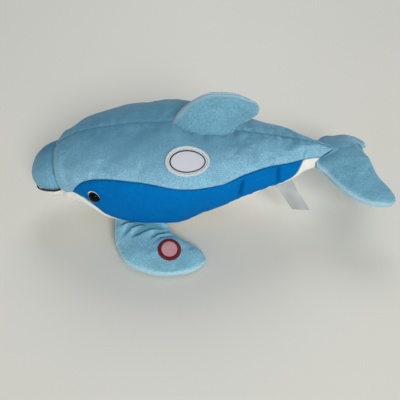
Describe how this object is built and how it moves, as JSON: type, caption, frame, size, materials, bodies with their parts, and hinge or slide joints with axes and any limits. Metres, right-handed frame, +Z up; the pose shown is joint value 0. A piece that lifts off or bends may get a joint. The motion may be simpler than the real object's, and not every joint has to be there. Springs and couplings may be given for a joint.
{
  "type": "plush dolphin",
  "caption": "Stuffed toy dolphin of sewn light blue, bright blue and white plush, lying on its belly with spread flippers and a raised tail.",
  "frame": {"origin": "middle of the flat spot on the belly that rests on the floor", "axes": "+Z up; +X along the body towards the tail, so the head points to -X; the animal's left side is at -Y"},
  "size_m": [0.3985, 0.2232, 0.1565],
  "materials": {
    "light_blue_plush": "short velour pile",
    "bright_blue_plush": "short velour pile",
    "white_plush": "short velour pile",
    "stuffing": "loose polyester fibre",
    "black_thread": "satin stitch",
    "eye_black": "polished",
    "felt_white": "felt",
    "patch_white": "woven twill",
    "patch_rim": "overlocked thread",
    "navy_thread": "satin stitch",
    "red_thread": "satin stitch",
    "washer_plastic": "moulded",
    "puck_plastic": "moulded",
    "label_satin": "satin ribbon"
  },
  "bodies": {
    "root": {"stuffing": "stuffing", "back_panel_left": "light_blue_plush", "back_panel_right": "light_blue_plush", "side_band_left": "bright_blue_plush", "side_band_right": "bright_blue_plush", "belly_panel": "white_plush", "beak_cover": "light_blue_plush", "mouth_line": "black_thread", "dorsal_fin": "light_blue_plush", "flipper_left": "light_blue_plush", "flipper_right": "light_blue_plush", "tail_flukes": "light_blue_plush", "eye_left": "eye_black", "eye_right": "eye_black", "eye_white_left": "felt_white", "eye_white_right": "felt_white", "eye_washer_left": "washer_plastic", "eye_washer_right": "washer_plastic", "side_patch": "patch_white", "side_patch_border": "patch_rim", "side_patch_ring": "navy_thread", "press_patch": "patch_white", "press_patch_ring": "red_thread", "sound_puck": "puck_plastic", "care_label": "label_satin"}
  },
  "joints": []
}
